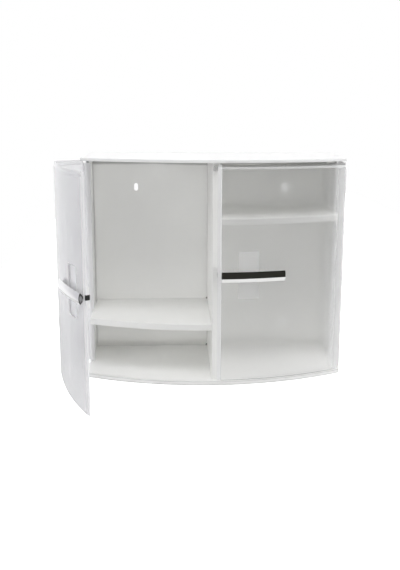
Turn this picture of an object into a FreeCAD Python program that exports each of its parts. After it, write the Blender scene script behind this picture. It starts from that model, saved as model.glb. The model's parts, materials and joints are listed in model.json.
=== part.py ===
import FreeCAD, Part
import os
import math

os.makedirs("parts", exist_ok=True)

V = FreeCAD.Vector

# ---------------------------------------------------------------- driving dimensions (mm)
# Case. While modelling, z = 0 is the underside of the bottom panel, y = 0 the wall plane,
# x = 0 the middle; the front faces -Y. Everything is lowered by ORIGIN_Z on export, so
# that the origin is the middle of the wall face.
WIDTH = 400.0
HEIGHT = 342.0
DEPTH_MIDDLE = 171.5          # wall to the crown of the bow
DEPTH_SIDE = 127.5            # wall to the front corners
ORIGIN_Z = 171.0

TOP_T = 4.5                   # top panel thickness
BOTTOM_T = 7.4                # bottom panel thickness
SIDE_T = 4.0                  # side panel thickness
SIDE_DEPTH = 67.5             # side panels stop short of the pivot line
BACK_T = 3.0                  # back panel thickness
DIVIDER_T = 11.0              # centre divider thickness
DIVIDER_FRONT = 164.0         # wall to the divider's front face
CORNER_R = 3.0                # front corners of top and bottom panel

# Hanging slots in the back panel
SLOT_W = 6.6
SLOT_L = 12.6
SLOT_X = 125.0
SLOT_Z_LOW = 50.0
SLOT_Z_HIGH = 285.0

# Shelves
SHELF_T = 3.0
SHELF_LIP = 9.4               # height of the curved front lip
SHELF_LIP_T = 3.0
SHELF_SET_BACK = 16.8         # shelf front behind the bow
SHELF_END_X = 193.4
LEFT_SHELF_Z = 91.6           # top of the left shelf
RIGHT_SHELF_Z = 254.2         # top of the right shelf
PEG_R = 2.5

# Doors
DOOR_Z0 = 8.3
DOOR_Z1 = 335.2
DOOR_GAP_HALF = 1.75          # half the gap between the closed doors
DOOR_INNER = 3.2              # door inner face behind the bow
RIM_STEP = 1.0                # rim lies this far behind the raised face
RIM_TOP = 6.5
RIM_BOTTOM = 2.9
RIM_FREE = 4.7
DOOR_CORNER_R = 6.0
PIVOT_X = 195.5
PIVOT_Y = -74.0
BARREL_R = 4.5
BARREL_Z0 = 10.4
BARREL_Z1 = 330.6
PIN_R = 2.0
PIN_PLAY = 0.05               # radial play of the pivots
LEFT_OPEN_DEG = 58.4          # the left door stands open by this much
RECESS_X = 48.5               # finger recess: middle, half sizes, depth
RECESS_Z = 171.6
RECESS_HALF_W = 15.2
RECESS_HALF_H = 35.8
RECESS_R = 7.0
RECESS_DEPTH = 1.6

# Handles
HANDLE_X0 = 7.6
HANDLE_X1 = 102.4
HANDLE_Z = 170.0
HANDLE_HALF_H = 7.8
HANDLE_RISE = 6.8             # crown of the handle above the door face
HANDLE_CROWN = 1.7            # bulge of its front face
HANDLE_LIP = 1.1              # thickness of its upper and lower lips
HANDLE_FOOT = 2.7             # half width of the foot on the door face
HANDLE_PLAY = 0.04            # end plugs in their pockets
HANDLE_SCREW_X = (20.0, 88.0)

# Catch
CATCH_Z = 172.0
CATCH_HALF_H = 14.0
CATCH_DEPTH = 3.2             # catch block stands this far behind the door's inner face
CATCH_X0 = 2.0
CATCH_X1 = 8.6
MAGNET_HALF_H = 3.6
MAGNET_W = 2.9                # magnet, along the door
RIGHT_POCKET = 1.8            # the right magnet's pocket stays closed towards the front

# ---------------------------------------------------------------- bow geometry
HALF_W = WIDTH / 2.0
SAG = DEPTH_MIDDLE - DEPTH_SIDE
BOW_R = (HALF_W ** 2 + SAG ** 2) / (2.0 * SAG)
BOW_Y = BOW_R - DEPTH_MIDDLE          # y of the bow's centre, behind the wall
ROOF = HEIGHT - TOP_T                 # underside of the top panel


def bow_y(x, inset=0.0):
    r = BOW_R - inset
    return BOW_Y - math.sqrt(r * r - x * x)


def box(x0, x1, y0, y1, z0, z1):
    return Part.makeBox(x1 - x0, y1 - y0, z1 - z0, V(x0, y0, z0))


def cyl(x, y, z0, z1, r):
    return Part.makeCylinder(r, z1 - z0, V(x, y, z0), V(0, 0, 1))


def bow_block(x0, x1, y_back, inset, z0, z1, radius_right=0.0, radius_left=0.0):
    """Block with a flat back and a bowed front, between two upright planes."""
    xm = 0.5 * (x0 + x1)
    a = V(x0, y_back, z0)
    b = V(x1, y_back, z0)
    c = V(x1, bow_y(x1, inset), z0)
    m = V(xm, bow_y(xm, inset), z0)
    d = V(x0, bow_y(x0, inset), z0)
    wire = Part.Wire([Part.makeLine(a, b), Part.makeLine(b, c),
                      Part.Arc(c, m, d).toShape(), Part.makeLine(d, a)])
    solid = Part.Face(wire).extrude(V(0, 0, z1 - z0))
    for r, px, py in ((radius_right, x1, c.y), (radius_left, x0, d.y)):
        if r > 0:
            solid = solid.makeFillet(r, upright_edges(solid, px, py))
    return solid


def upright_edges(solid, x, y, tol=0.05):
    found = []
    for e in solid.Edges:
        p, q = e.Vertexes[0].Point, e.Vertexes[-1].Point
        if abs(p.z - q.z) > 1.0 and all(abs(v.x - x) < tol and abs(v.y - y) < tol for v in (p, q)):
            found.append(e)
    return found


def level_edges(solid, z, test=None, tol=1e-4):
    found = []
    for e in solid.Edges:
        bb = e.BoundBox
        if abs(bb.ZMin - z) < tol and abs(bb.ZMax - z) < tol and (test is None or test(e)):
            found.append(e)
    return found


def ring_cut(r0, r1, z0, z1):
    """Annular band about the bow's centre line, front part only."""
    outer = Part.makeCylinder(r1, z1 - z0, V(0, BOW_Y, z0), V(0, 0, 1))
    inner = Part.makeCylinder(r0, z1 - z0 + 2, V(0, BOW_Y, z0 - 1), V(0, 0, 1))
    return outer.cut(inner)


def one(shape):
    """The single solid of a shape, cleaned of needless seams."""
    s = shape.removeSplitter()
    return s.Solids[0] if len(s.Solids) == 1 else s


def slot_prism(x, z, w, length, y0, y1):
    r = w / 2.0
    h = length / 2.0 - r
    core = box(x - r, x + r, y0, y1, z - h, z + h)
    up = Part.makeCylinder(r, y1 - y0, V(x, y0, z + h), V(0, 1, 0))
    low = Part.makeCylinder(r, y1 - y0, V(x, y0, z - h), V(0, 1, 0))
    return core.fuse(up).fuse(low).removeSplitter()


def mirror_x(shape):
    return shape.mirror(V(0, 0, 0), V(1, 0, 0))


def csk_screw_up(x, y, z, length, r, head_r):
    """Countersunk screw whose flat head lies at height z, shank going up."""
    head = Part.makeCone(head_r, r, head_r - r, V(x, y, z), V(0, 0, 1))
    shank = cyl(x, y, z + head_r - r, z + length, r)
    drive = box(x - head_r * 0.6, x + head_r * 0.6, y - 0.35, y + 0.35, z - 1, z + 0.6)
    drive2 = box(x - 0.35, x + 0.35, y - head_r * 0.6, y + head_r * 0.6, z - 1, z + 0.6)
    return one(head.fuse(shank)).cut(drive).cut(drive2)


nodes = {}

# ---------------------------------------------------------------- top panel
top = bow_block(-HALF_W, HALF_W, 0.0, 0.0, ROOF, HEIGHT, CORNER_R, CORNER_R)
top = top.makeFillet(0.6, level_edges(top, HEIGHT))
top = top.makeFillet(0.7, level_edges(top, ROOF, lambda e: e.BoundBox.YMin < -10))
for s in (-1, 1):
    top = top.cut(cyl(s * PIVOT_X, PIVOT_Y, ROOF - 1, ROOF + 3.2, 3.62))

# ---------------------------------------------------------------- bottom panel
bottom = bow_block(-HALF_W, HALF_W, 0.0, 0.0, 0.0, BOTTOM_T, CORNER_R, CORNER_R)
bottom = bottom.makeFillet(2.4, level_edges(bottom, 0.0, lambda e: e.BoundBox.YMin < -1))
bottom = bottom.makeFillet(0.8, level_edges(bottom, BOTTOM_T, lambda e: e.BoundBox.YMin < -1))
groove = ring_cut(BOW_R - 2.6, BOW_R - 1.6, BOTTOM_T - 0.9, BOTTOM_T + 1)
groove = groove.common(box(-HALF_W + 3.5, HALF_W - 3.5, -DEPTH_MIDDLE - 5, -80, BOTTOM_T - 2, BOTTOM_T + 2))
bottom = bottom.cut(groove)
for s in (-1, 1):
    bottom = bottom.cut(cyl(s * PIVOT_X, PIVOT_Y, BOTTOM_T - 4.2, BOTTOM_T + 1, 3.62))

# ---------------------------------------------------------------- sides and divider
right_side = box(HALF_W - SIDE_T, HALF_W, -SIDE_DEPTH, 0.0, BOTTOM_T, ROOF)
right_side = right_side.makeFillet(1.2, upright_edges(right_side, HALF_W, -SIDE_DEPTH)
                                   + upright_edges(right_side, HALF_W - SIDE_T, -SIDE_DEPTH))

divider = box(-DIVIDER_T / 2, DIVIDER_T / 2, -DIVIDER_FRONT, -BACK_T, BOTTOM_T, ROOF)
divider = divider.makeFillet(1.0, upright_edges(divider, DIVIDER_T / 2, -DIVIDER_FRONT)
                             + upright_edges(divider, -DIVIDER_T / 2, -DIVIDER_FRONT))
# seat of the strike plate
STRIKE_X, STRIKE_H, STRIKE_T = 4.4, 11.0, 1.0
divider = divider.cut(box(-STRIKE_X - 0.05, STRIKE_X + 0.05, -DIVIDER_FRONT - 1, -DIVIDER_FRONT + STRIKE_T,
                          CATCH_Z - STRIKE_H - 0.05, CATCH_Z + STRIKE_H + 0.05))

# ---------------------------------------------------------------- back panel
back = box(-HALF_W + SIDE_T, HALF_W - SIDE_T, -BACK_T, 0.0, BOTTOM_T, ROOF)
for s in (-1, 1):
    for z in (SLOT_Z_LOW, SLOT_Z_HIGH):
        back = back.cut(slot_prism(s * SLOT_X, z, SLOT_W, SLOT_L, -BACK_T - 1, 1.0))

# ---------------------------------------------------------------- fasteners of the case
SIDE_MID = HALF_W - SIDE_T / 2
SCREW_R, SCREW_HEAD_R, SCREW_L = 1.2, 2.6, 22.0
bottom_screws = []
for x, y in ((0.0, -30.0), (0.0, -130.0)):
    bottom_screws.append(csk_screw_up(x, y, 0.2, SCREW_L, SCREW_R, SCREW_HEAD_R))
    seat = Part.makeCone(SCREW_HEAD_R + 0.07, SCREW_R + 0.05, SCREW_HEAD_R - SCREW_R + 0.02, V(x, y, 0.2), V(0, 0, 1))
    mouth = cyl(x, y, -1, 0.2, SCREW_HEAD_R + 0.07)
    hole = cyl(x, y, 0.0, SCREW_L + 0.5, SCREW_R + 0.05)
    bottom = bottom.cut(mouth).cut(seat).cut(hole)
    divider = divider.cut(hole)

# dowels: side panels at both ends, divider at the top
DOWEL_R, DOWEL_IN, DOWEL_SIDE = 1.2, 2.6, 9.0
side_spots = [(s * SIDE_MID, y) for s in (-1, 1) for y in (-18.0, -52.0)]
dowels = []
for x, y in side_spots + [(0.0, -30.0), (0.0, -130.0)]:
    dowels.append(cyl(x, y, ROOF - DOWEL_SIDE, ROOF + DOWEL_IN, DOWEL_R))
    hole = cyl(x, y, ROOF - DOWEL_SIDE - 0.4, ROOF + DOWEL_IN + 0.2, DOWEL_R + 0.05)
    top = top.cut(hole)
    if abs(x) < 1:
        divider = divider.cut(hole)
    elif x > 0:
        right_side = right_side.cut(hole)
for x, y in side_spots:
    dowels.append(cyl(x, y, BOTTOM_T - DOWEL_IN, BOTTOM_T + DOWEL_SIDE, DOWEL_R))
    hole = cyl(x, y, BOTTOM_T - DOWEL_IN - 0.2, BOTTOM_T + DOWEL_SIDE + 0.4, DOWEL_R + 0.05)
    bottom = bottom.cut(hole)
    if x > 0:
        right_side = right_side.cut(hole)

back_screws = []
for z in (60.0, 134.0, 208.0, 282.0):
    head = Part.makeCone(2.6, 1.2, 1.4, V(0, -0.2, z), V(0, -1, 0))
    shank = Part.makeCylinder(1.2, 16.0, V(0, -1.6, z), V(0, -1, 0))
    cross = box(-1.6, 1.6, -0.7, 1.0, z - 0.35, z + 0.35).fuse(box(-0.35, 0.35, -0.7, 1.0, z - 1.6, z + 1.6))
    back_screws.append(one(head.fuse(shank)).cut(cross))
    seat = Part.makeCone(2.67, 1.25, 1.42, V(0, -0.2, z), V(0, -1, 0))
    mouth = Part.makeCylinder(2.67, 1.2, V(0, 1.0, z), V(0, -1, 0))
    hole = Part.makeCylinder(1.25, 19.0, V(0, 0.0, z), V(0, -1, 0))
    back = back.cut(mouth).cut(seat).cut(hole)
    divider = divider.cut(hole)

# ---------------------------------------------------------------- shelves
def shelf_right(z_top):
    """Shelf of the right bay: plate with a curved lip, notched round the hinge barrel."""
    x0, x1 = DIVIDER_T / 2 + 0.4, SHELF_END_X
    y_back = -BACK_T - 0.3
    plate = bow_block(x0, x1, y_back, SHELF_SET_BACK, z_top - SHELF_T, z_top, 2.0, 0.0)
    lip = bow_block(x0, x1, -60.0, SHELF_SET_BACK, z_top - SHELF_LIP, z_top, 2.0, 0.0)
    behind = bow_block(x0 - 1, x1 + 1, -59.0, SHELF_SET_BACK + SHELF_LIP_T, z_top - SHELF_LIP - 1, z_top - SHELF_T)
    lip = lip.cut(behind)
    lip = lip.cut(box(x0 - 1, x1 + 1, -100.0, 0.0, z_top - SHELF_LIP - 1, z_top - SHELF_T))
    s = one(plate.fuse(lip))
    s = s.makeFillet(0.9, level_edges(s, z_top, lambda e: e.BoundBox.YMin < -110 and e.BoundBox.XLength > 20))
    # clear of the barrel, and clipped rear corners beside the divider
    s = s.cut(box(PIVOT_X - BARREL_R - 1.2, HALF_W, PIVOT_Y - BARREL_R - 1.2, PIVOT_Y + BARREL_R + 1.2, z_top - 20, z_top + 5))
    clip = Part.makeBox(3.0, 3.0, 20, V(-1.5, -1.5, 0))
    clip.rotate(V(0, 0, 0), V(0, 0, 1), 45)
    clip.translate(V(x0, y_back, z_top - 12))
    return one(s.cut(clip))


right_shelf = shelf_right(RIGHT_SHELF_Z)
left_shelf = mirror_x(shelf_right(LEFT_SHELF_Z))


def pegs_right(z_top):
    """Four round pegs under one shelf, two in the side and two in the divider."""
    zc = z_top - SHELF_T - PEG_R
    out = []
    for y in (-16.0, -50.0):
        out.append(Part.makeCylinder(PEG_R, 9.0, V(HALF_W - SIDE_T + 2.0, y, zc), V(-1, 0, 0)))
    for y in (-16.0, -128.0):
        out.append(Part.makeCylinder(PEG_R, 9.0, V(DIVIDER_T / 2 - 3.0, y, zc), V(1, 0, 0)))
    return [p.makeFillet(0.5, [e for e in p.Edges if e.BoundBox.XLength < 1e-6 and abs(abs(e.BoundBox.XMin) - free) < 1e-3])
            for p, free in zip(out, (HALF_W - SIDE_T - 7.0,) * 2 + (DIVIDER_T / 2 + 6.0,) * 2)]


def peg_holes_right(z_top):
    zc = z_top - SHELF_T - PEG_R
    side = [Part.makeCylinder(PEG_R + 0.04, 4.0, V(HALF_W - SIDE_T + 2.05, y, zc), V(-1, 0, 0)) for y in (-16.0, -50.0)]
    mid = [Part.makeCylinder(PEG_R + 0.04, 5.0, V(DIVIDER_T / 2 - 3.05, y, zc), V(1, 0, 0)) for y in (-16.0, -128.0)]
    return side, mid


left_side = mirror_x(right_side)
r_side_holes, r_mid_holes = peg_holes_right(RIGHT_SHELF_Z)
l_side_holes, l_mid_holes = peg_holes_right(LEFT_SHELF_Z)
for h in r_side_holes:
    right_side = right_side.cut(h)
for h in l_side_holes:
    left_side = left_side.cut(mirror_x(h))
for h in r_mid_holes:
    divider = divider.cut(h)
for h in l_mid_holes:
    divider = divider.cut(mirror_x(h))
right_pegs = pegs_right(RIGHT_SHELF_Z)
left_pegs = [mirror_x(p) for p in pegs_right(LEFT_SHELF_Z)]

# ---------------------------------------------------------------- buffers, strike plate, snap tabs
BUFFER_X, BUFFER_Z, BUFFER_W, BUFFER_L, BUFFER_OUT = 2.9, 329.0, 3.6, 7.4, 3.6
buffers = []
for s in (-1, 1):
    b = slot_prism(s * BUFFER_X, BUFFER_Z, BUFFER_W, BUFFER_L, -DIVIDER_FRONT - BUFFER_OUT, -DIVIDER_FRONT + 3.0)
    b = b.makeFillet(0.7, [e for e in b.Edges if abs(e.BoundBox.YMax - (-DIVIDER_FRONT - BUFFER_OUT)) < 1e-3])
    buffers.append(b)
    divider = divider.cut(slot_prism(s * BUFFER_X, BUFFER_Z, BUFFER_W + 0.06, BUFFER_L + 0.06,
                                     -DIVIDER_FRONT - 5.0, -DIVIDER_FRONT + 3.03))

strike = box(-STRIKE_X, STRIKE_X, -DIVIDER_FRONT, -DIVIDER_FRONT + STRIKE_T, CATCH_Z - STRIKE_H, CATCH_Z + STRIKE_H)
strike = strike.makeFillet(0.3, [e for e in strike.Edges if abs(e.BoundBox.YMax + DIVIDER_FRONT) < 1e-3])

tabs = []
for s in (-1, 1):
    for z in ((LEFT_SHELF_Z if s < 0 else RIGHT_SHELF_Z), BOTTOM_T):
        x0 = DIVIDER_T / 2
        t = Part.Face(Part.makePolygon([V(x0, -BACK_T, z + 0.2), V(x0 + 2.2, -BACK_T, z + 0.2),
                                        V(x0 + 2.2, -BACK_T, z + 2.0), V(x0, -BACK_T, z + 3.0),
                                        V(x0, -BACK_T, z + 0.2)])).extrude(V(0, -1.8, 0))
        tabs.append(mirror_x(t) if s < 0 else t)

# ---------------------------------------------------------------- right door, closed
def door_right():
    rim = bow_block(DOOR_GAP_HALF, HALF_W - RIM_STEP, PIVOT_Y, RIM_STEP, DOOR_Z0, DOOR_Z1, DOOR_CORNER_R - RIM_STEP)
    z0, z1 = DOOR_Z0 + RIM_BOTTOM, DOOR_Z1 - RIM_TOP
    face = bow_block(DOOR_GAP_HALF + RIM_FREE, HALF_W, PIVOT_Y, 0.0, z0, z1, DOOR_CORNER_R)
    # bevel the raised face's top, bottom and free edges
    rim_edges = []
    for e in face.Edges:
        bb = e.BoundBox
        flat = abs(bb.ZMax - bb.ZMin) < 1e-4
        front = bb.YMax < -100.0 or bb.XMin > HALF_W - 0.01
        if flat and front and (bb.YMin < -90.0):
            rim_edges.append(e)
        elif not flat and abs(bb.XMin - (DOOR_GAP_HALF + RIM_FREE)) < 1e-3 and bb.YMax < -100.0:
            rim_edges.append(e)
    face = face.makeChamfer(0.75, rim_edges)
    hollow = bow_block(-20.0, HALF_W - DOOR_INNER, PIVOT_Y + 30.0, DOOR_INNER, DOOR_Z0 - 5, DOOR_Z1 + 5,
                       DOOR_CORNER_R - DOOR_INNER)
    shell = one(rim.fuse(face)).cut(hollow)
    # clear the pivot line above and below the barrel
    for a, b in ((DOOR_Z0 - 2, BARREL_Z0), (BARREL_Z1, DOOR_Z1 + 2)):
        shell = shell.cut(box(PIVOT_X - 10, HALF_W + 2, PIVOT_Y - 6.6, PIVOT_Y + 10, a, b))
    barrel = cyl(PIVOT_X, PIVOT_Y, BARREL_Z0, BARREL_Z1, BARREL_R)
    shell = one(shell.fuse(barrel))
    # finger recess, floor concentric with the bow
    core = box(RECESS_X - RECESS_HALF_W, RECESS_X + RECESS_HALF_W, -DEPTH_MIDDLE - 5, -140.0,
               RECESS_Z - RECESS_HALF_H, RECESS_Z + RECESS_HALF_H)
    corners = [e for e in core.Edges if e.BoundBox.YLength > 5]
    core = core.makeFillet(RECESS_R, corners)
    floor = Part.makeCylinder(BOW_R - RECESS_DEPTH, 200.0, V(0, BOW_Y, 80.0), V(0, 0, 1))
    shell = shell.cut(core.cut(floor))
    # pin holes in the barrel
    shell = shell.cut(cyl(PIVOT_X, PIVOT_Y, BARREL_Z0 - 1, BARREL_Z0 + 12.0, PIN_R))
    shell = shell.cut(cyl(PIVOT_X, PIVOT_Y, BARREL_Z1 - 12.0, BARREL_Z1 + 1, PIN_R))
    for x in HANDLE_SCREW_X:
        p, n = radial(x)
        shell = shell.cut(Part.makeCylinder(1.6, 20.0, p - n * 10.0, n))
    return one(shell)


def radial(x):
    """Point on the bow at x and the outward normal there."""
    p = V(x, bow_y(x), HANDLE_Z)
    n = V(x, p.y - BOW_Y, 0)
    n.normalize()
    return p, n


def handle_profile(wall):
    """Mushroom section in the plane of x = 0: crowned front, undercut back, narrow foot on the door.
    wall > 0 gives the section of the end pocket, that much inside the outline."""
    front = HANDLE_RISE - HANDLE_CROWN
    back = front - HANDLE_LIP
    hh, tip, foot, low = HANDLE_HALF_H - 0.5, HANDLE_HALF_H, HANDLE_FOOT, 0.0
    crown = HANDLE_RISE
    if wall > 0:
        hh, tip, foot, low = hh - 1.6 * wall, tip - 1.6 * wall, max(0.8, foot - 0.7 * wall), wall
        front, back, crown = front - 0.55 * wall, back - 0.05 * wall, crown - wall
    def pt(z, h):
        return V(0, -DEPTH_MIDDLE - h, HANDLE_Z + z)
    mid = 0.5 * (front + back)
    edges = [
        Part.Arc(pt(-hh, front), pt(0, crown), pt(hh, front)).toShape(),
        Part.Arc(pt(hh, front), pt(tip, mid), pt(hh, back)).toShape(),
        Part.makeLine(pt(hh, back), pt(foot, low)),
        Part.makeLine(pt(foot, low), pt(-foot, low)),
        Part.makeLine(pt(-foot, low), pt(-hh, back)),
        Part.Arc(pt(-hh, back), pt(-tip, mid), pt(-hh, front)).toShape(),
    ]
    return Part.Face(Part.Wire(edges))


def handle_sweep(wall, deg0, deg1):
    """Section swung about the bow's centre line from deg0 to deg1 (towards +X)."""
    f = handle_profile(wall)
    f.rotate(V(0, BOW_Y, 0), V(0, 0, 1), deg0)
    return f.revolve(V(0, BOW_Y, 0), V(0, 0, 1), deg1 - deg0)


HANDLE_A0 = math.degrees(math.asin(HANDLE_X0 / BOW_R))
HANDLE_A1 = math.degrees(math.asin(HANDLE_X1 / BOW_R))
DEG_PER_MM = math.degrees(1.0 / BOW_R)


HANDLE_WALL = 1.3


def handle_right():
    bar = handle_sweep(0.0, HANDLE_A0, HANDLE_A1)
    ends = handle_sweep(HANDLE_WALL, HANDLE_A0 - DEG_PER_MM, HANDLE_A0 + 3.0 * DEG_PER_MM)
    ends2 = handle_sweep(HANDLE_WALL, HANDLE_A1 - 3.0 * DEG_PER_MM, HANDLE_A1 + DEG_PER_MM)
    bar = bar.cut(ends).cut(ends2)
    for x in HANDLE_SCREW_X:
        p, n = radial(x)
        bar = bar.cut(Part.makeCylinder(1.35, 6.0, p - n * 1.0, n))
    return bar


def handle_plugs_right():
    w = HANDLE_WALL + HANDLE_PLAY
    a = handle_sweep(w, HANDLE_A0 + 0.7 * DEG_PER_MM, HANDLE_A0 + 2.95 * DEG_PER_MM)
    b = handle_sweep(w, HANDLE_A1 - 2.95 * DEG_PER_MM, HANDLE_A1 - 0.7 * DEG_PER_MM)
    return [a, b]


def handle_screws_right():
    out = []
    for x in HANDLE_SCREW_X:
        p, n = radial(x)
        head = Part.makeCylinder(3.0, 1.8, p - n * (DOOR_INNER + 1.85), n)
        head = head.makeFillet(0.8, [e for e in head.Edges
                                     if (e.CenterOfMass - (p - n * (DOOR_INNER + 1.85))).Length < 0.05])
        shank = Part.makeCylinder(1.3, DOOR_INNER + 1.85 + 4.7, p - n * (DOOR_INNER + 1.85), n)
        s = one(head.fuse(shank))
        for ang in (0, 90):
            bar = box(-1.9, 1.9, -0.4, 0.4, -0.2, 0.8)
            bar.rotate(V(0, 0, 0), V(0, 0, 1), ang)
            rot = FreeCAD.Rotation(V(0, 0, 1), n)
            bar.Placement = FreeCAD.Placement(p - n * (DOOR_INNER + 1.95), rot).multiply(bar.Placement)
            s = s.cut(bar)
        out.append(s)
    return out


CATCH_BACK = -DEPTH_MIDDLE + DOOR_INNER + CATCH_DEPTH


def catch_block_right(play, pocket_depth):
    """Block behind the free edge, with a pocket for the magnet open to the back and to the free edge."""
    blk = box(CATCH_X0, CATCH_X1, -DEPTH_MIDDLE, CATCH_BACK, CATCH_Z - CATCH_HALF_H, CATCH_Z + CATCH_HALF_H)
    keep = Part.makeCylinder(BOW_R - DOOR_INNER - 0.01, 60.0, V(0, BOW_Y, CATCH_Z - 30.0), V(0, 0, 1))
    blk = blk.common(keep)
    blk = blk.makeFillet(1.2, [e for e in blk.Edges if abs(e.BoundBox.YMin - CATCH_BACK) < 1e-3])
    pocket = box(CATCH_X0 - 1, CATCH_X0 + MAGNET_W + play, CATCH_BACK - pocket_depth, CATCH_BACK + 1,
                 CATCH_Z - MAGNET_HALF_H - play, CATCH_Z + MAGNET_HALF_H + play)
    return one(blk.cut(pocket))


def magnet_right(front):
    """Magnet from y = front to just proud of the catch block."""
    m = box(CATCH_X0 - 0.25, CATCH_X0 + MAGNET_W, front, CATCH_BACK + 0.3,
            CATCH_Z - MAGNET_HALF_H, CATCH_Z + MAGNET_HALF_H)
    return m.makeFillet(0.6, [e for e in m.Edges if e.BoundBox.YLength > 1.0])


RIM_FACE = -DEPTH_MIDDLE + RIM_STEP
INNER_FACE = -DEPTH_MIDDLE + DOOR_INNER


def pins_right():
    low = cyl(PIVOT_X, PIVOT_Y, BOTTOM_T - 3.2, BARREL_Z0 + 11.9, PIN_R)
    up = cyl(PIVOT_X, PIVOT_Y, BARREL_Z1 - 11.9, ROOF + 2.2, PIN_R)
    low = low.makeChamfer(0.4, [e for e in low.Edges if abs(e.BoundBox.ZMax - (BOTTOM_T - 3.2)) < 1e-3])
    up = up.makeChamfer(0.4, [e for e in up.Edges if abs(e.BoundBox.ZMin - (ROOF + 2.2)) < 1e-3])
    return up, low


def bushes_right():
    stem = cyl(PIVOT_X, PIVOT_Y, ROOF, ROOF + 3.1, 3.6)
    flange = cyl(PIVOT_X, PIVOT_Y, ROOF - 1.4, ROOF, 4.4)
    up = one(stem.fuse(flange)).cut(cyl(PIVOT_X, PIVOT_Y, ROOF - 3, ROOF + 2.6, PIN_R + PIN_PLAY))
    stem = cyl(PIVOT_X, PIVOT_Y, BOTTOM_T - 4.1, BOTTOM_T, 3.6)
    flange = cyl(PIVOT_X, PIVOT_Y, BOTTOM_T, BOTTOM_T + 1.4, 4.4)
    low = one(stem.fuse(flange)).cut(cyl(PIVOT_X, PIVOT_Y, BOTTOM_T - 3.6, BOTTOM_T + 3, PIN_R + PIN_PLAY))
    return up, low


up_bush, low_bush = bushes_right()
nodes["back_panel"] = back
nodes["top_panel"] = top
nodes["bottom_panel"] = bottom
nodes["left_side_panel"] = left_side
nodes["right_side_panel"] = right_side
nodes["centre_divider"] = divider
nodes["left_shelf"] = left_shelf
nodes["right_shelf"] = right_shelf
nodes["left_shelf_pegs"] = Part.makeCompound(left_pegs)
nodes["right_shelf_pegs"] = Part.makeCompound(right_pegs)
nodes["bottom_screws"] = Part.makeCompound(bottom_screws)
nodes["case_dowels"] = Part.makeCompound(dowels)
nodes["back_screws"] = Part.makeCompound(back_screws)
nodes["left_buffer"] = buffers[0]
nodes["right_buffer"] = buffers[1]
nodes["strike_plate"] = strike
nodes["divider_snap_tabs"] = Part.makeCompound(tabs)
nodes["right_upper_bush"] = up_bush
nodes["right_lower_bush"] = low_bush
nodes["left_upper_bush"] = mirror_x(up_bush)
nodes["left_lower_bush"] = mirror_x(low_bush)

# ---------------------------------------------------------------- doors and what is on them
up_pin, low_pin = pins_right()
right_panel = door_right()
# the left door's magnet reaches through a notch in the rim of its free edge
left_notch = box(0.0, CATCH_X0 + MAGNET_W + 0.05, -DEPTH_MIDDLE - 2, INNER_FACE + 2,
                 CATCH_Z - MAGNET_HALF_H - 0.05, CATCH_Z + MAGNET_HALF_H + 0.05)
common = {
    "handle": handle_right(),
    "handle_plugs": Part.makeCompound(handle_plugs_right()),
    "handle_screws": Part.makeCompound(handle_screws_right()),
    "upper_pivot_pin": up_pin,
    "lower_pivot_pin": low_pin,
}
right_pieces = dict(common, door_panel=right_panel, catch_block=catch_block_right(0.05, RIGHT_POCKET),
                    catch_magnet=magnet_right(CATCH_BACK - RIGHT_POCKET + 0.02))
left_pieces = dict(common, door_panel=one(right_panel.cut(left_notch)), catch_block=catch_block_right(0.05, CATCH_DEPTH + 2.0),
                   catch_magnet=magnet_right(RIM_FACE - 0.1))
for name, shape in right_pieces.items():
    nodes["right_" + name] = shape
for name, shape in left_pieces.items():
    left = mirror_x(shape)
    left.rotate(V(-PIVOT_X, PIVOT_Y, 0), V(0, 0, 1), -LEFT_OPEN_DEG)
    nodes["left_" + name] = left

# ---------------------------------------------------------------- export
for name, shape in nodes.items():
    solids = [s.copy() for s in shape.Solids]
    for s in solids:
        s.translate(V(0, 0, -ORIGIN_Z))
        if not s.isValid() or s.Volume <= 0:
            print("check", name, "valid", s.isValid(), "volume", s.Volume)
    out = solids[0] if len(solids) == 1 else Part.makeCompound(solids)
    out.exportStep("parts/%s.step" % name)
    bb = out.BoundBox
    print("%-24s solids %d  x %.1f..%.1f  y %.1f..%.1f  z %.1f..%.1f  cm3 %.2f" % (
        name, len(solids), bb.XMin, bb.XMax, bb.YMin, bb.YMax, bb.ZMin, bb.ZMax, out.Volume / 1000.0))
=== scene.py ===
import json
import math

import bpy
from mathutils import Matrix, Vector

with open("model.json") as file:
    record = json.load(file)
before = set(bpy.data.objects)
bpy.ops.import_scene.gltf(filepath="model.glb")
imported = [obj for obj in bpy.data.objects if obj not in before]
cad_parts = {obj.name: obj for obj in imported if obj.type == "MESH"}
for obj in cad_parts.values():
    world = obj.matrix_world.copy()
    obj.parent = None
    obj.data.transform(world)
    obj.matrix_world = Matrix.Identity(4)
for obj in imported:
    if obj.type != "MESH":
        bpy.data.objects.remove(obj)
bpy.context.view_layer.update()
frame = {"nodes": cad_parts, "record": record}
NODES = frame["nodes"]
scene = bpy.context.scene

# ------------------------------------------------------------------ camera
YAW, PITCH, ROLL = math.radians(3.63), math.radians(10.42), math.radians(-0.37)
FOCAL_PX, PRINCIPAL = 703.4, (218.7, 237.9)
IMAGE = (400, 570)

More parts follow.
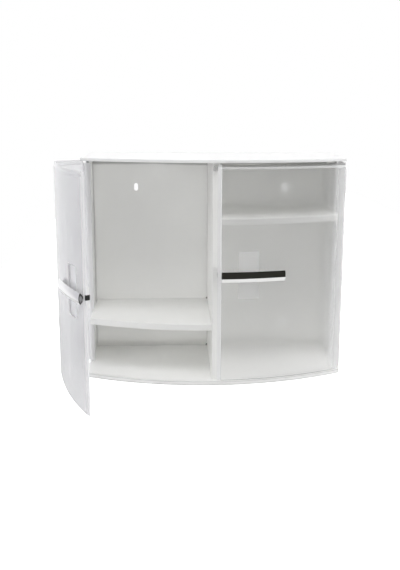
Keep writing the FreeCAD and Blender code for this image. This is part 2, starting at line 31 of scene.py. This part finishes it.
fwd = Vector((math.sin(YAW) * math.cos(PITCH), math.cos(YAW) * math.cos(PITCH), -math.sin(PITCH)))
right = Vector((math.cos(YAW), -math.sin(YAW), 0.0))
down = -right.cross(fwd)
cam_x = math.cos(ROLL) * right + math.sin(ROLL) * down
cam_down = -math.sin(ROLL) * right + math.cos(ROLL) * down
cam_data = bpy.data.cameras.new("camera")
cam = bpy.data.objects.new("camera", cam_data)
scene.collection.objects.link(cam)
m = Matrix.Identity(4)
for i in range(3):
    m[i][0], m[i][1], m[i][2] = cam_x[i], -cam_down[i], -fwd[i]
m.translation = Vector((-0.0608, -1.1801, 0.4146 - 0.171))
cam.matrix_world = m
cam_data.sensor_width = 36.0
cam_data.lens = FOCAL_PX / IMAGE[1] * 36.0
cam_data.shift_x = -(PRINCIPAL[0] - IMAGE[0] / 2) / IMAGE[1]
cam_data.shift_y = (PRINCIPAL[1] - IMAGE[1] / 2) / IMAGE[1]
cam_data.clip_start, cam_data.clip_end = 0.05, 60.0
scene.camera = cam

scene.view_settings.view_transform = "Standard"
scene.view_settings.look = "None"
scene.view_settings.exposure = 0.0
scene.view_settings.gamma = 1.0


# ------------------------------------------------------------------ material helpers
def new_material(name):
    mat = bpy.data.materials.new(name)
    mat.use_nodes = True
    nt = mat.node_tree
    nt.nodes.clear()
    out = nt.nodes.new("ShaderNodeOutputMaterial")
    bsdf = nt.nodes.new("ShaderNodeBsdfPrincipled")
    nt.links.new(bsdf.outputs["BSDF"], out.inputs["Surface"])
    return mat, nt, bsdf, out


def object_coords(nt, scale=(1.0, 1.0, 1.0)):
    tc = nt.nodes.new("ShaderNodeTexCoord")
    mp = nt.nodes.new("ShaderNodeMapping")
    mp.inputs["Scale"].default_value = scale
    nt.links.new(tc.outputs["Object"], mp.inputs["Vector"])
    return mp.outputs["Vector"]


def noise(nt, vec, scale, detail=3.0, rough=0.55):
    n = nt.nodes.new("ShaderNodeTexNoise")
    n.inputs["Scale"].default_value = scale
    n.inputs["Detail"].default_value = detail
    n.inputs["Roughness"].default_value = rough
    nt.links.new(vec, n.inputs["Vector"])
    return n.outputs["Fac"]


def ramp(nt, fac, stops, interpolation="LINEAR"):
    r = nt.nodes.new("ShaderNodeValToRGB")
    r.color_ramp.interpolation = interpolation
    while len(r.color_ramp.elements) < len(stops):
        r.color_ramp.elements.new(0.5)
    for e, (pos, col) in zip(r.color_ramp.elements, stops):
        e.position = pos
        e.color = (*col, 1.0) if len(col) == 3 else col
    nt.links.new(fac, r.inputs["Fac"])
    return r.outputs["Color"]


def grey(v):
    return (v, v, v)


def map_range(nt, val, a, b, c, d):
    n = nt.nodes.new("ShaderNodeMapRange")
    n.inputs["From Min"].default_value = a
    n.inputs["From Max"].default_value = b
    n.inputs["To Min"].default_value = c
    n.inputs["To Max"].default_value = d
    nt.links.new(val, n.inputs["Value"])
    return n.outputs["Result"]


def math_node(nt, op, a, b):
    n = nt.nodes.new("ShaderNodeMath")
    n.operation = op
    for i, v in enumerate((a, b)):
        if isinstance(v, (int, float)):
            n.inputs[i].default_value = v
        else:
            nt.links.new(v, n.inputs[i])
    return n.outputs[0]


def bump(nt, height, strength, distance, normal=None):
    b = nt.nodes.new("ShaderNodeBump")
    b.inputs["Strength"].default_value = strength
    b.inputs["Distance"].default_value = distance
    nt.links.new(height, b.inputs["Height"])
    if normal is not None:
        nt.links.new(normal, b.inputs["Normal"])
    return b.outputs["Normal"]


def white_plastic(name, tint, grain_scale=2600.0, rough=(0.34, 0.46), grain=0.12, glow=0.0, foot=None, painted_shade_bands=(), shade_depth=0.78):
    """Moulded white plastic: faint tone that varies at random, fine grain, very slight flow waves; glow lets light
    soak through thin walls, not below the height foot, where the wall stands on another piece; the shade bands paint
    shade into the colour as darker bands
    of height (low, high or None, soft edge): painted shade under the top and painted shade lines in the sill groove."""
    mat, nt, bsdf, out = new_material(name)
    vec = object_coords(nt)
    lo = tuple(c * 0.975 for c in tint)
    hi = tuple(min(1.0, c * 1.015) for c in tint)
    drift_and_shade = noise(nt, vec, 9.0, 3.0)
    stops = [(0.3, lo), (0.7, hi)]
    # painted shade: each height band pulls the tone down towards a darker copy of the white, the lowest ramp stop
    if painted_shade_bands:
        up = nt.nodes.new("ShaderNodeSeparateXYZ")
        nt.links.new(vec, up.inputs[0])
        for start, end, soft in painted_shade_bands:
            shade_band = map_range(nt, up.outputs["Z"], start, start + soft, 0.0, 0.6)
            if end is not None:
                shade_band = math_node(nt, "MULTIPLY", shade_band, map_range(nt, up.outputs["Z"], end - soft, end, 1.0, 0.0))
            drift_and_shade = math_node(nt, "SUBTRACT", drift_and_shade, shade_band)
        stops.insert(0, (0.0, tuple(c * shade_depth for c in lo)))
    nt.links.new(ramp(nt, drift_and_shade, stops), bsdf.inputs["Base Color"])
    fine = noise(nt, vec, grain_scale, 2.0)
    nt.links.new(map_range(nt, noise(nt, vec, 60.0, 4.0), 0.3, 0.7, rough[0], rough[1]), bsdf.inputs["Roughness"])
    wave_vec = object_coords(nt, (2.0, 2.0, 26.0))
    flow = noise(nt, wave_vec, 3.0, 2.0)
    n1 = bump(nt, flow, 0.10, 0.0012)
    nt.links.new(bump(nt, fine, grain, 0.00006, n1), bsdf.inputs["Normal"])
    bsdf.inputs["IOR"].default_value = 1.5
    bsdf.inputs["Specular IOR Level"].default_value = 0.42
    if foot is None:
        bsdf.inputs["Subsurface Weight"].default_value = glow
    else:
        sep = nt.nodes.new("ShaderNodeSeparateXYZ")
        nt.links.new(vec, sep.inputs[0])
        nt.links.new(map_range(nt, sep.outputs["Z"], foot, foot + 0.012, 0.0, glow), bsdf.inputs["Subsurface Weight"])
    bsdf.inputs["Subsurface Radius"].default_value = (1.0, 1.0, 1.0)
    bsdf.inputs["Subsurface Scale"].default_value = 0.0055
    return mat


# ------------------------------------------------------------------ materials
case_white = white_plastic("case_white", (0.947, 0.947, 0.934), glow=1.0)
case_dense = white_plastic("case_white_thick", (0.945, 0.945, 0.932))
# bottom panel: a lighter copy of the case white, painted light for the bay floor, with two thin painted shade lines
# around its edge standing in for the shade in the front-edge grooves
sill_white_painted_light_and_shade = white_plastic("case_white_sill_painted_light_and_shade", (0.985, 0.985, 0.972), glow=0.4,
                          painted_shade_bands=[(-0.16485, -0.1638, 0.0003), (-0.1696, -0.1684, 0.0003)], shade_depth=0.70)
# shelves: a lighter copy of the case white, painted light for the brighter shelf tops
shelf_white_painted_light = white_plastic("case_white_shelf_painted_light", (0.985, 0.985, 0.972))
# back panel: a darker copy of the case white, painted shade for the back wall of the bays, plus a painted shade band
# at its top under the ceiling
back_white_painted_shade = white_plastic("case_white_back_painted_shade", (0.848, 0.848, 0.836), glow=1.0, foot=-0.161,
                          painted_shade_bands=[(0.1485, None, 0.006)], shade_depth=0.64)
fitting_white = white_plastic("fitting_white", (0.90, 0.90, 0.895), 3000.0, (0.4, 0.52))

# frosted translucent door plastic: clearest on the bowed panel, milkier where the moulding is thick
# (hinge barrel), at the rims and in the finger recess
def frosted(name, turn_deg):
    """turn_deg turns the door back to its shut place, so both doors share one set of masks."""
    mat, nt, bsdf, out = new_material(name)
    vec = object_coords(nt)
    shut = nt.nodes.new("ShaderNodeMapping")
    if turn_deg:
        px, py, a = -0.1955, -0.074, math.radians(turn_deg)
        shut.inputs["Rotation"].default_value = (0.0, 0.0, a)
        shut.inputs["Location"].default_value = (px - (math.cos(a) * px - math.sin(a) * py),
                                                 py - (math.sin(a) * px + math.cos(a) * py), 0.0)
    nt.links.new(vec, shut.inputs["Vector"])
    sep = nt.nodes.new("ShaderNodeSeparateXYZ")
    nt.links.new(shut.outputs["Vector"], sep.inputs[0])
    x = math_node(nt, "ABSOLUTE", sep.outputs["X"], 0.0)
    y, z = sep.outputs["Y"], sep.outputs["Z"]

    def step(val, lo, hi):
        n = nt.nodes.new("ShaderNodeMapRange")
        n.interpolation_type = "SMOOTHSTEP"
        n.inputs["From Min"].default_value = lo
        n.inputs["From Max"].default_value = hi
        nt.links.new(val, n.inputs["Value"])
        return n.outputs["Result"]

    def far(val, middle):
        return math_node(nt, "ABSOLUTE", math_node(nt, "SUBTRACT", val, middle), 0.0)

    barrel = step(y, -0.0815, -0.0785)
    top_rim_shade = step(z, 0.1606, 0.1612)
    bead = math_node(nt, "MULTIPLY", step(z, 0.1572, 0.1578), step(z, 0.1612, 0.1606))
    bead = math_node(nt, "MULTIPLY", bead, 0.45 if turn_deg == 0 else 0.12)
    solid = math_node(nt, "MAXIMUM", barrel, step(x, 0.0080, 0.0074))
    milk = math_node(nt, "MULTIPLY", step(x, 0.176, 0.192), 0.30 if turn_deg == 0 else 0.22)
    cup = math_node(nt, "MULTIPLY", step(far(x, 0.0485), 0.0155, 0.0149), step(far(z, 0.0006), 0.0361, 0.0355))
    cloud = noise(nt, vec, 11.0, 4.0)
    # painted shade: the tone is pulled down along the top rim, fully on the right door and a little on the left,
    # standing in for the shadow under the overhanging top panel; the lowest tone stop is that painted shade colour
    tone = math_node(nt, "SUBTRACT", cloud, math_node(nt, "MULTIPLY", top_rim_shade, 1.0 if turn_deg == 0 else 0.16))
    tones = [(0.0, (0.76, 0.76, 0.76)), (0.3, (0.945, 0.946, 0.949)), (0.7, (0.965, 0.966, 0.969))]
    if turn_deg:
        tones = [(0.0, (0.80, 0.80, 0.81)), (0.3, (0.942, 0.942, 0.958)), (0.7, (0.962, 0.962, 0.976))]
    nt.links.new(ramp(nt, tone, tones), bsdf.inputs["Base Color"])
    nt.links.new(math_node(nt, "SUBTRACT", map_range(nt, solid, 0.0, 1.0, 0.97 if turn_deg == 0 else 0.86, 0.0), math_node(nt, "ADD", math_node(nt, "ADD", milk, bead), math_node(nt, "MULTIPLY", cup, 0.22))), bsdf.inputs["Transmission Weight"])
    frost = map_range(nt, noise(nt, vec, 90.0, 3.0), 0.3, 0.7, 0.235, 0.260)
    nt.links.new(math_node(nt, "ADD", frost, math_node(nt, "MULTIPLY", cup, 0.08)), bsdf.inputs["Roughness"])
    bsdf.inputs["IOR"].default_value = 1.46
    # the panel is thin and pale, so light falls through it onto what is behind
    path = nt.nodes.new("ShaderNodeLightPath")
    clear = nt.nodes.new("ShaderNodeBsdfTransparent")
    clear.inputs["Color"].default_value = (0.98, 0.98, 0.98, 1.0)
    lets = nt.nodes.new("ShaderNodeMixShader")
    nt.links.new(path.outputs["Is Shadow Ray"], lets.inputs[0])
    nt.links.new(bsdf.outputs["BSDF"], lets.inputs[1])
    nt.links.new(clear.outputs["BSDF"], lets.inputs[2])
    nt.links.new(lets.outputs[0], out.inputs["Surface"])
    return mat


door_right = frosted("door_frosted_right", 0.0)
door_left = frosted("door_frosted_left", 58.4)

# bright plated handle
chrome, nt, bsdf, out = new_material("handle_chrome")
vec = object_coords(nt)
nt.links.new(ramp(nt, noise(nt, vec, 30.0, 3.0), [(0.3, (0.69, 0.69, 0.69)), (0.7, (0.74, 0.736, 0.73))]), bsdf.inputs["Base Color"])
bsdf.inputs["Metallic"].default_value = 1.0
nt.links.new(map_range(nt, noise(nt, vec, 140.0, 4.0), 0.3, 0.7, 0.03, 0.09), bsdf.inputs["Roughness"])
nt.links.new(bump(nt, noise(nt, vec, 45.0, 2.0), 0.10, 0.0004), bsdf.inputs["Normal"])


def metal(name, lo, hi, rough):
    mat, nt, bsdf, out = new_material(name)
    vec = object_coords(nt)
    nt.links.new(ramp(nt, noise(nt, vec, 220.0, 4.0), [(0.3, lo), (0.7, hi)]), bsdf.inputs["Base Color"])
    bsdf.inputs["Metallic"].default_value = 1.0
    nt.links.new(map_range(nt, noise(nt, vec, 500.0, 3.0), 0.3, 0.7, rough[0], rough[1]), bsdf.inputs["Roughness"])
    nt.links.new(bump(nt, noise(nt, vec, 900.0, 3.0), 0.12, 0.0001), bsdf.inputs["Normal"])
    return mat


def dull(name, lo, hi, rough, grain=900.0):
    mat, nt, bsdf, out = new_material(name)
    vec = object_coords(nt)
    nt.links.new(ramp(nt, noise(nt, vec, 160.0, 4.0), [(0.3, lo), (0.7, hi)]), bsdf.inputs["Base Color"])
    nt.links.new(map_range(nt, noise(nt, vec, 300.0, 3.0), 0.3, 0.7, rough[0], rough[1]), bsdf.inputs["Roughness"])
    nt.links.new(bump(nt, noise(nt, vec, grain, 3.0), 0.25, 0.0001), bsdf.inputs["Normal"])
    return mat


steel = metal("steel", (0.52, 0.52, 0.52), (0.64, 0.64, 0.65), (0.28, 0.42))
rubber = dull("buffer_rubber", (0.55, 0.55, 0.55), (0.62, 0.62, 0.62), (0.6, 0.8))
strike = white_plastic("strike_paint", (0.93, 0.93, 0.92), 1500.0, (0.25, 0.36), 0.08)
tab_grey = dull("tab_grey", (0.22, 0.22, 0.22), (0.28, 0.28, 0.28), (0.5, 0.65))
plug_grey = dull("plug_grey", (0.50, 0.50, 0.52), (0.58, 0.58, 0.60), (0.4, 0.55))
pin_grey = dull("pin_grey", (0.40, 0.40, 0.41), (0.47, 0.47, 0.48), (0.4, 0.55))
magnet = dull("magnet_black", (0.008, 0.008, 0.008), (0.016, 0.016, 0.016), (0.4, 0.55))

LOOK = {"case_white": case_white, "fitting_white": fitting_white, "door_frosted": door_right, "handle_chrome": chrome,
        "steel": steel, "buffer_rubber": rubber, "strike_steel": strike, "tab_grey": tab_grey,
        "plug_grey": plug_grey, "magnet_black": magnet}
OWN = {"left_door_panel": door_left, "left_shelf": shelf_white_painted_light, "right_shelf": shelf_white_painted_light, "back_panel": back_white_painted_shade,
       "bottom_panel": sill_white_painted_light_and_shade, "centre_divider": case_dense}
for side in ("left", "right"):
    for end in ("upper", "lower"):
        OWN["%s_%s_pivot_pin" % (side, end)] = pin_grey
for row in frame["record"]["subparts"]:
    o = NODES[row["node"]]
    o.data.materials.clear()
    o.data.materials.append(OWN.get(row["node"]) or LOOK[row["material_slot"]])

# ------------------------------------------------------------------ floor
FLOOR_Z = -0.62
FLOOR_X, FLOOR_Y = (-1.0, 1.8), (-1.25, 6.0)
floor_mesh = bpy.data.meshes.new("floor")
floor_mesh.from_pydata([(x, y, FLOOR_Z) for x, y in ((FLOOR_X[0], FLOOR_Y[0]), (FLOOR_X[1], FLOOR_Y[0]),
                                                     (FLOOR_X[1], FLOOR_Y[1]), (FLOOR_X[0], FLOOR_Y[1]))], [], [(0, 1, 2, 3)])
floor = bpy.data.objects.new("floor", floor_mesh)
scene.collection.objects.link(floor)
floor_mat, nt, bsdf, out = new_material("floor_pale")
vec = object_coords(nt)
nt.links.new(ramp(nt, noise(nt, vec, 2.0, 2.0), [(0.3, grey(0.94)), (0.7, grey(0.96))]), bsdf.inputs["Base Color"])
bsdf.inputs["Roughness"].default_value = 0.9
bsdf.inputs["Emission Color"].default_value = (1.0, 1.0, 1.0, 1.0)
# seen as a white sweep; what it throws back at the cabinet is weaker
path = nt.nodes.new("ShaderNodeLightPath")
floor_glow = map_range(nt, path.outputs["Is Camera Ray"], 0.0, 1.0, 0.21, 1.0)
nt.links.new(floor_glow, bsdf.inputs["Emission Strength"])
floor_mat.cycles.emission_sampling = "NONE"
floor_mesh.materials.append(floor_mat)

# ------------------------------------------------------------------ light
# a white room behind, soft boxes above and at both sides, an unlit stretch in front
world = bpy.data.worlds.new("studio")
scene.world = world
world.use_nodes = True
wn = world.node_tree
wn.nodes.clear()
wout = wn.nodes.new("ShaderNodeOutputWorld")
wtc = wn.nodes.new("ShaderNodeTexCoord")
wsep = wn.nodes.new("ShaderNodeSeparateXYZ")
wn.links.new(wtc.outputs["Generated"], wsep.inputs[0])
deg = 180.0 / math.pi
w_el = math_node(wn, "MULTIPLY", math_node(wn, "ARCSINE", wsep.outputs["Z"], 0.0), deg)
w_az = math_node(wn, "MULTIPLY", math_node(wn, "ARCTAN2", wsep.outputs["X"], math_node(wn, "MULTIPLY", wsep.outputs["Y"], -1.0)), deg)
w_abs = math_node(wn, "ABSOLUTE", w_az, 0.0)


def smooth(val, a, b):
    n = wn.nodes.new("ShaderNodeMapRange")
    n.interpolation_type = "SMOOTHSTEP"
    n.inputs["From Min"].default_value = a
    n.inputs["From Max"].default_value = b
    wn.links.new(val, n.inputs["Value"])
    return n.outputs["Result"]


def window(val, lo, hi, soft):
    """1 between lo and hi, with soft edges centred on them; None leaves that end open."""
    out = None
    for edge, sign in ((lo, 1), (hi, -1)):
        if edge is None:
            continue
        e = smooth(val, edge - sign * soft, edge + sign * soft)
        out = e if out is None else math_node(wn, "MULTIPLY", out, e)
    return out


def sector(name, masks, color, strength):
    """One soft patch of the sky dome: azimuth 0 is in front, + to the right; elevation + is up."""
    m = None
    for k in masks:
        m = k if m is None else math_node(wn, "MULTIPLY", m, k)
    bg = wn.nodes.new("ShaderNodeBackground")
    bg.name = "sector_" + name
    bg.inputs["Color"].default_value = (*color, 1.0)
    wn.links.new(math_node(wn, "MULTIPLY", m, strength), bg.inputs["Strength"])
    return bg.outputs[0]


SECTORS = [
    ("back", [window(w_abs, 152.0, None, 6.0), window(w_el, -30.0, 60.0, 6.0)], (1.0, 1.0, 1.0), 1.30),
    ("back_left", [window(w_az, -152.0, -132.0, 8.0), window(w_el, -25.0, 50.0, 6.0)], (0.985, 0.985, 1.0), 1.20),
    ("side_left", [window(w_az, -132.0, -106.0, 8.0), window(w_el, -25.0, 50.0, 6.0)], (0.95, 0.95, 1.0), 0.85),
    ("back_right", [window(w_az, 112.0, 152.0, 8.0), window(w_el, -25.0, 50.0, 6.0)], (1.0, 1.0, 1.0), 1.05),
    ("left", [window(w_az, -106.0, -40.0, 8.0), window(w_el, -20.0, 50.0, 6.0)], (0.985, 0.985, 1.0), 0.38),
    ("right", [window(w_az, 72.0, 112.0, 8.0), window(w_el, -20.0, 50.0, 6.0)], (1.0, 1.0, 1.0), 1.18),
    ("above", [window(w_el, 60.0, None, 6.0)], (1.0, 1.0, 1.0), 0.03),
    ("front", [window(w_az, -40.0, 72.0, 8.0), window(w_el, -40.0, 58.0, 6.0)], (1.0, 1.0, 0.85), 0.036),
]
total = None
for args in SECTORS:
    sh = sector(*args)
    if total is None:
        total = sh
    else:
        add = wn.nodes.new("ShaderNodeAddShader")
        wn.links.new(total, add.inputs[0])
        wn.links.new(sh, add.inputs[1])
        total = add.outputs[0]
plain = wn.nodes.new("ShaderNodeBackground")
plain.inputs["Color"].default_value = (1.0, 1.0, 1.0, 1.0)
path = wn.nodes.new("ShaderNodeLightPath")
mix = wn.nodes.new("ShaderNodeMixShader")
wn.links.new(path.outputs["Is Camera Ray"], mix.inputs[0])
wn.links.new(total, mix.inputs[1])
wn.links.new(plain.outputs[0], mix.inputs[2])
wn.links.new(mix.outputs[0], wout.inputs["Surface"])


def soft_box(name, az, el, dist, size, watts, color=(1.0, 1.0, 1.0)):
    """Rectangular soft light aimed at the case; kept out of mirror reflections and out of sight."""
    a, e = math.radians(az), math.radians(el)
    light = bpy.data.lights.new(name, "AREA")
    light.shape = "RECTANGLE"
    light.size, light.size_y = size
    light.energy = watts
    light.color = color
    light.cycles.use_multiple_importance_sampling = False
    o = bpy.data.objects.new(name, light)
    scene.collection.objects.link(o)
    aim = Vector((0.0, -0.1, 0.0))
    o.location = aim + dist * Vector((math.sin(a) * math.cos(e), -math.cos(a) * math.cos(e), math.sin(e)))
    o.rotation_mode = "QUATERNION"
    o.rotation_quaternion = (aim - o.location).to_track_quat("-Z", "Y")
    o.visible_glossy = False
    o.visible_transmission = False
    o.visible_camera = False


soft_box("high_box", 0, 73, 2.0, (1.8, 0.6), 4.0)
soft_box("top_box", 0, 60, 2.0, (1.8, 0.8), 15.0)
soft_box("left_box", -75, 15, 2.2, (1.5, 1.5), 12.0)
soft_box("right_box", 80, 15, 2.2, (1.5, 1.5), 17.0)
soft_box("front_box", 8, 8, 2.2, (1.4, 1.0), 0.8)
soft_box("front_upper_box", 8, 35, 2.2, (1.6, 0.8), 0.8)
soft_box("front_left_box", -40, 20, 2.2, (1.0, 1.2), 1.0)
soft_box("front_right_box", 50, 20, 2.2, (1.0, 1.2), 1.6)
soft_box("low_box", 8, -22, 1.4, (1.2, 0.4), 0.6)

world.cycles.sampling_method = "NONE"
scene.cycles.use_light_tree = False
scene.cycles.max_bounces = 24
scene.cycles.diffuse_bounces = 12
scene.cycles.transmission_bounces = 16
